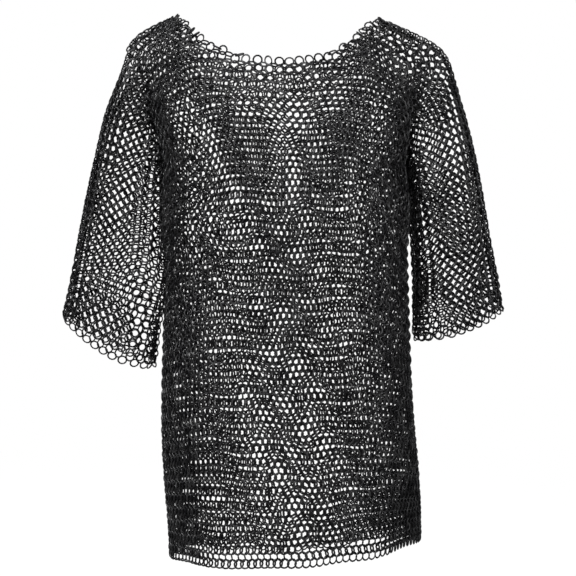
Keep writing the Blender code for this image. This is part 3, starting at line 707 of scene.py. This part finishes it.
# Blackened wire with blotches and grain, bare on the outer side where it rubs and paler there still as a painted
# glint, and a dark line where it is butted
blackSteel = {
    # The rubbed colour is bare steel wear, made paler than the wear alone as a painted highlight on the rings
    "dark": (0.004, 0.004, 0.0045, 1), "pale": (0.022, 0.022, 0.0225, 1), "rubbedWearAndGlint": (0.16, 0.16, 0.163, 1),
    "joint": (0.002, 0.002, 0.002, 1), "jointEdges": (0.008, 0.02), "jointRough": 0.3,
    "metallic": 0.8, "specular": 0.3, "specularTint": (0.3, 0.3, 0.31, 1), "roughness": (0.26, 0.50),
    "blotches": 45.0, "grain": 900.0, "paleFrom": (0.35, 0.85),
    "outerSide": (0.28, 0.5), "rubWearAndGlintFrom": (0.45, 0.8), "rubWearAndGlint": 0.55, "rubWearAndGlintSmooth": 0.12,
    "bump": 0.12, "bumpDepth": 0.0003,
}


def blackSteelMaterial():
    made = bpy.data.materials.new("blackenedSteelWire")
    made.use_nodes = True
    tree = made.node_tree
    shader = tree.nodes["Principled BSDF"]
    start = Maths(tree, None)
    place = Maths(tree, start.node("ShaderNodeTexCoord").outputs["Object"])
    uv = Maths(tree, start.node("ShaderNodeUVMap", {"uv_map": "ringUv"}).outputs[0])
    parts = start.node("ShaderNodeSeparateXYZ", None, {0: uv})
    along, around = Maths(tree, parts.outputs[0]), Maths(tree, parts.outputs[1])
    ringTone = Maths(tree, start.node("ShaderNodeAttribute", {"attribute_name": "ringTone"}).outputs["Fac"])

    def noise(scale, detail):
        made = start.node("ShaderNodeTexNoise", None, {"Vector": place, "Scale": scale, "Detail": detail})
        return Maths(tree, made.outputs["Fac"])

    def mixed(factor, first, second):
        made = start.node("ShaderNodeMix", {"data_type": "RGBA"}, {0: factor, 6: first, 7: second})
        return Maths(tree, made.outputs[2])

    s = blackSteel
    blotch, grain = noise(s["blotches"], 3.0), noise(s["grain"], 2.0)
    shade = (blotch * 0.6 + ringTone * 0.4 + grain * 0.2).between(*s["paleFrom"])
    outerSide = (around - 0.5).maths("ABSOLUTE", 0.0).between(*s["outerSide"])
    # Paler metal on the wire's outer side: rubbed wear, partly a painted glint
    rubWearAndGlint = outerSide * (grain * 0.5 + ringTone * 0.5).between(*s["rubWearAndGlintFrom"]) * s["rubWearAndGlint"]
    joint = 1 - (along - 0.5).maths("ABSOLUTE", 0.0).between(*s["jointEdges"])
    colour = mixed(joint, mixed(rubWearAndGlint, mixed(shade, s["dark"], s["pale"]), s["rubbedWearAndGlint"]), s["joint"])
    tree.links.new(colour.socket, shader.inputs["Base Color"])
    low, high = s["roughness"]
    rough = (blotch * 0.5 + grain * 0.5) * (high - low) + low + joint * s["jointRough"] - rubWearAndGlint * s["rubWearAndGlintSmooth"]
    tree.links.new(rough.socket, shader.inputs["Roughness"])
    shader.inputs["Metallic"].default_value = s["metallic"]
    shader.inputs["Specular IOR Level"].default_value = s["specular"]
    shader.inputs["Specular Tint"].default_value = s["specularTint"]
    height = grain * 0.6 + (1 - joint) * 0.8
    bump = start.node("ShaderNodeBump", None, {"Height": height, "Strength": s["bump"], "Distance": s["bumpDepth"]})
    tree.links.new(bump.outputs[0], shader.inputs["Normal"])
    return made


steel = blackSteelMaterial()
print("material made")

# Fields of mail, each standing for the CAD sheets that it covers
isUpper = (row < armpitRow) | ((row == armpitRow) & inSleeve)
split = (armpitRow + hemRow) // 2
fields = [
    ("front_yoke_mail", isUpper & ~isArm & (side < 0),
     ["front_chest", "front_neck", "left_shoulder", "right_shoulder"]),
    ("back_yoke_mail", isUpper & ~isArm & (side > 0), ["upper_back", "back_neck"]),
    ("front_waist_mail", ~isUpper & (side < 0) & (row <= split), ["front_waist", "left_flank", "right_flank"]),
    ("back_waist_mail", ~isUpper & (side > 0) & (row <= split), ["back_waist"]),
    ("front_skirt_mail", ~isUpper & (side < 0) & (row > split), ["front_skirt", "left_hip", "right_hip"]),
    ("back_skirt_mail", ~isUpper & (side > 0) & (row > split), ["back_skirt"]),
]
for name, mask, nodes in fields:
    piece = mailPiece(name, np.flatnonzero(mask), steel)
    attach(piece, "torso")
    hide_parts(*nodes)

# Each sleeve is a piece of its own, standing for the CAD sleeve sheets that it covers. sleeveBend holds the armpit,
# the lean in degrees of a line through it, and a reach
sleeveBend = {"armpit": (0.159, -0.216), "slope": 34, "reach": 0.12}
sleeveParts = ("upper_front", "upper_back", "lower_front", "lower_back")
pit, slope = Vector(sleeveBend["armpit"]), math.radians(sleeveBend["slope"])
for hand, sign in (("left", 1), ("right", -1)):
    piece = mailPiece(hand + "_sleeve_mail", np.flatnonzero(isArm & (column * sign > 0)), steel)
    away = (sign * math.cos(slope), -math.sin(slope))
    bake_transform(piece)
    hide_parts(*[hand + "_sleeve_" + part for part in sleeveParts])
print("mail made")

# Studio: white surroundings, soft lamps, camera level with the middle of the shirt. Lengths in metres, lamps in watts
studio = {
    "floorHeight": -1.02, "floorSize": 30, "floorGlow": 0.93, "shadowReach": 0.6, "whiteFrom": 2.6, "ambient": 0.3,
    "cameraDistance": 1.4, "cameraHeight": -0.388, "lens": 61.6, "aim": (0, 0, -0.38),
    "lamps": [("keyLamp", (-1.3, -1.7, 0.9), 0.6, 140), ("fillLamp", (1.6, -1.5, 0.2), 0.9, 60),
              ("topLamp", (0.1, 0.3, 1.5), 1.2, 30), ("backLamp", (-0.6, 1.8, 0.6), 1.2, 20)],
}


def seenPlainly(tree):
    # 1 for rays from the camera, and for those that a glossy or clear surface sends on, else 0
    path = Maths(tree, None).node("ShaderNodeLightPath")
    camera, glossy, clear = (Maths(tree, path.outputs[name])
                             for name in ("Is Camera Ray", "Is Glossy Ray", "Is Transmission Ray"))
    return camera.maths("MAXIMUM", glossy).maths("MAXIMUM", clear)


def paleFloorMaterial():
    # White, with the object's shadow; far from the object it is as white as the world
    made = bpy.data.materials.new("paleFloor")
    made.use_nodes = True
    tree = made.node_tree
    shader = tree.nodes["Principled BSDF"]
    shader.inputs["Base Color"].default_value = (1, 1, 1, 1)
    shader.inputs["Roughness"].default_value = 0.9
    start = Maths(tree, None)
    glow = start.node("ShaderNodeEmission", None, {"Color": (1, 1, 1, 1), "Strength": 1.0})
    place = Maths(tree, start.node("ShaderNodeTexCoord").outputs["Object"])
    off = start.node("ShaderNodeVectorMath", {"operation": "LENGTH"}, {0: place})
    far = Maths(tree, off.outputs["Value"]).between(studio["shadowReach"], studio["whiteFrom"])
    share = seenPlainly(tree) * (far * (1 - studio["floorGlow"]) + studio["floorGlow"])
    blend = start.node("ShaderNodeMixShader", None, {0: share})
    tree.links.new(shader.outputs[0], blend.inputs[1])
    tree.links.new(glow.outputs[0], blend.inputs[2])
    tree.links.new(blend.outputs[0], tree.nodes["Material Output"].inputs[0])
    return made


bpy.ops.mesh.primitive_plane_add(size=studio["floorSize"], location=(0, 0, studio["floorHeight"]))
floor = bpy.context.object
floor.name = "studioFloor"
floor.data.materials.append(paleFloorMaterial())

world = bpy.data.worlds.new("studioWorld")
bpy.context.scene.world = world
world.use_nodes = True
background = world.node_tree.nodes["Background"]
background.inputs["Color"].default_value = (1, 1, 1, 1)
strength = seenPlainly(world.node_tree) * (1 - studio["ambient"]) + studio["ambient"]
world.node_tree.links.new(strength.socket, background.inputs["Strength"])

for name, place, size, power in studio["lamps"]:
    bpy.ops.object.light_add(type="AREA", location=place)
    lamp = bpy.context.object
    lamp.name = name
    lamp.data.size, lamp.data.energy = size, power
    lamp.rotation_euler = (Vector(studio["aim"]) - Vector(place)).to_track_quat("-Z", "Y").to_euler()

level = (math.pi / 2, 0, 0)
bpy.ops.object.camera_add(location=(0, -studio["cameraDistance"], studio["cameraHeight"]), rotation=level)
camera = bpy.context.object
camera.name = "photoCamera"
camera.data.sensor_width = 36
camera.data.lens = studio["lens"]
camera.data.clip_start = 0.05
bpy.context.scene.camera = camera
bpy.context.scene.view_settings.view_transform = "Standard"
print("studio made")
